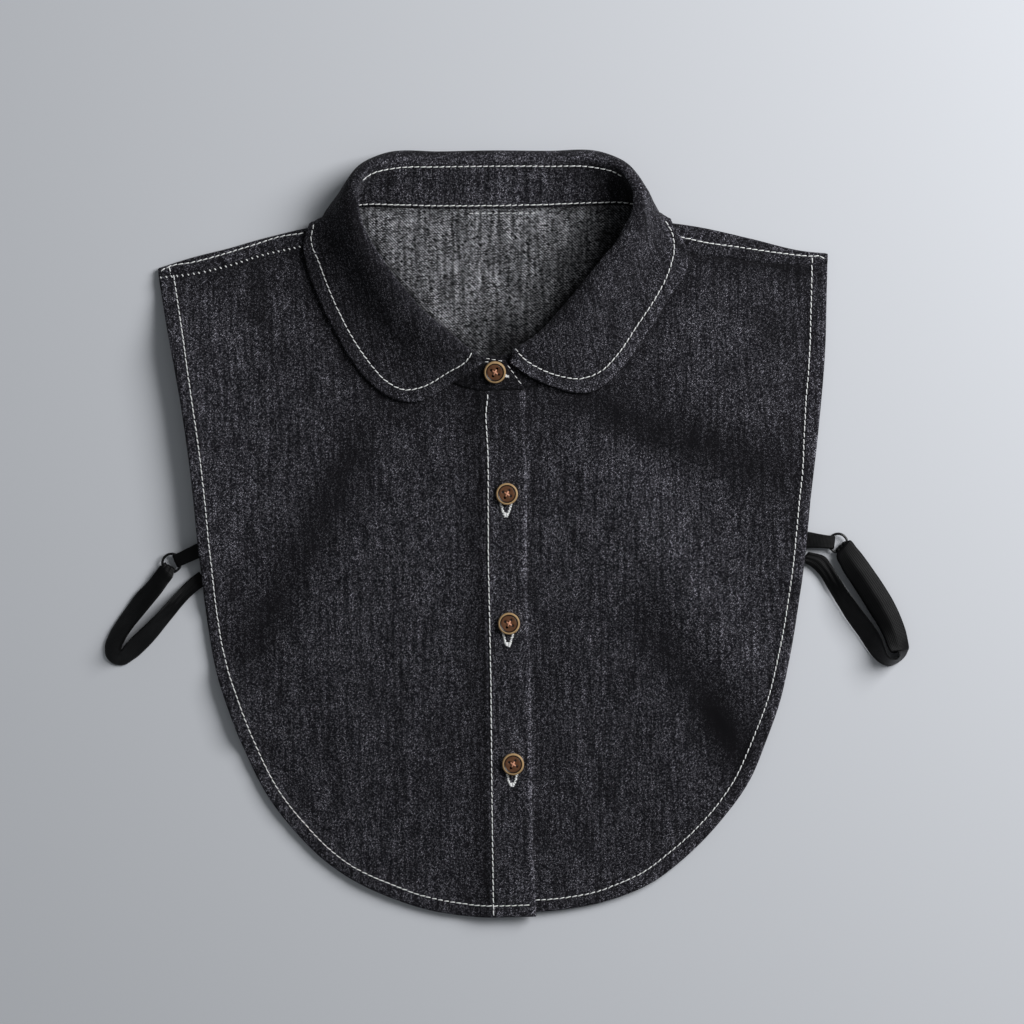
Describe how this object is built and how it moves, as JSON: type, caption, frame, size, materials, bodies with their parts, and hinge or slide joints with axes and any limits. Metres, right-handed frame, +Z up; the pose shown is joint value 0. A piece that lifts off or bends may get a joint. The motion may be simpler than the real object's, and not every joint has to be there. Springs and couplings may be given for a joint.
{
  "type": "detachable shirt collar",
  "caption": "Detachable shirt collar of dark denim, buttoned up and lying flat: rounded leaf on a stand, two fronts, a back panel, and an elastic strap on a ring at each side.",
  "frame": {"origin": "on the underside of the back panel, below the placket and level with the side straps' rings", "axes": "+Z up, away from the surface it lies on; +Y towards the neck; +X to the right seen from above with the neck at the top, which is the wearer's left"},
  "size_m": [0.4019, 0.383, 0.0247],
  "materials": {
    "denim": "dark indigo-black denim with pale flecks, unlined",
    "elastic": "black woven elastic and tape with a slight sheen",
    "ring_plastic": "glossy black",
    "button_plastic": "brown horn look with a tan rim"
  },
  "bodies": {
    "root": {"back_panel": "denim", "front_over": "denim", "front_under": "denim", "collar_stand": "denim", "collar_leaf": "denim", "button_1": "button_plastic", "button_2": "button_plastic", "button_3": "button_plastic", "button_4": "button_plastic", "tab_left": "elastic", "tab_right": "elastic", "ring_left": "ring_plastic", "ring_right": "ring_plastic", "strap_left": "elastic", "strap_right": "elastic"}
  },
  "joints": []
}
